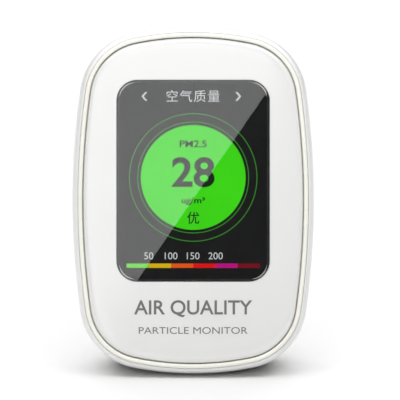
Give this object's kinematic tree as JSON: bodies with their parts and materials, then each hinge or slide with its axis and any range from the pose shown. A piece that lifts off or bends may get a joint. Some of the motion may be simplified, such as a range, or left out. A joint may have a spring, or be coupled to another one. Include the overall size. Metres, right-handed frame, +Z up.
{
  "type": "air quality monitor",
  "caption": "Leaning desktop air quality monitor with a tall smoked display window in a white face, an ivory trim ring, a vented back and a push button on top.",
  "frame": {"origin": "middle of the footprint, on the surface it stands on", "axes": "+Z up, the display faces -Y and leans back by 10 degrees, +X to the right of someone looking at the display"},
  "size_m": [0.0714, 0.052, 0.1014],
  "materials": {
    "white_gloss": "high gloss white moulding",
    "white_satin": "satin white moulding, very fine texture",
    "ivory_trim": "semi-gloss ivory moulding",
    "smoked_lens": "polished smoked cover window",
    "foot_rubber": "matt soft rubber",
    "zinc_steel": "bright zinc plated sheet",
    "white_plastic": "matt moulded chassis plastic",
    "black_plastic": "matt black moulding",
    "circuit_board": "green solder mask",
    "dark_foam": "closed cell foam",
    "lcd_glass": "bonded glass, dark when off",
    "backlight_white": "white light guide stack",
    "amber_ribbon": "polyimide film",
    "battery_wrap": "laminated pouch foil",
    "laser_brass": "turned brass barrel"
  },
  "bodies": {
    "casing": {"front_panel": "white_gloss", "rear_shell": "white_satin", "trim_ring": "ivory_trim", "display_lens": "smoked_lens", "foot_left": "foot_rubber", "foot_right": "foot_rubber", "lcd_frame": "zinc_steel", "radio_shield": "zinc_steel", "usb_socket": "zinc_steel", "sensor_housing": "zinc_steel", "sensor_lid": "zinc_steel", "vent_mesh": "zinc_steel", "fan_shaft": "zinc_steel", "gas_sensor": "zinc_steel", "case_screw_1": "zinc_steel", "case_screw_2": "zinc_steel", "case_screw_3": "zinc_steel", "case_screw_4": "zinc_steel", "board_screw_1": "zinc_steel", "board_screw_2": "zinc_steel", "board_screw_3": "zinc_steel", "board_screw_4": "zinc_steel", "chassis": "white_plastic", "battery_connector": "white_plastic", "power_switch": "black_plastic", "microcontroller": "black_plastic", "buzzer": "black_plastic", "climate_sensor": "black_plastic", "usb_tongue": "black_plastic", "photodiode": "black_plastic", "fan_frame": "black_plastic", "main_board": "circuit_board", "radio_module": "circuit_board", "sensor_board": "circuit_board", "lens_gasket": "dark_foam", "battery_pad": "dark_foam", "sensor_seal": "dark_foam", "lcd_panel": "lcd_glass", "lcd_backlight": "backlight_white", "display_ribbon": "amber_ribbon", "battery_cell": "battery_wrap", "laser_diode": "laser_brass"},
    "button": {"power_button": "white_satin", "switch_plunger": "black_plastic"},
    "fan": {"fan_impeller": "black_plastic"}
  },
  "joints": [
    {"name": "button_press", "type": "slide", "parent": "casing", "child": "button", "axis": [0, -0.1736, -0.9848], "range_m": [0, 0.0005], "stiffness_N_per_m": 2500},
    {"name": "fan_spin", "type": "hinge", "parent": "casing", "child": "fan", "pos_m": [-0.0095, 0.00903, 0.05938], "axis": [0, 0.9848, -0.1736], "continuous": true}
  ]
}
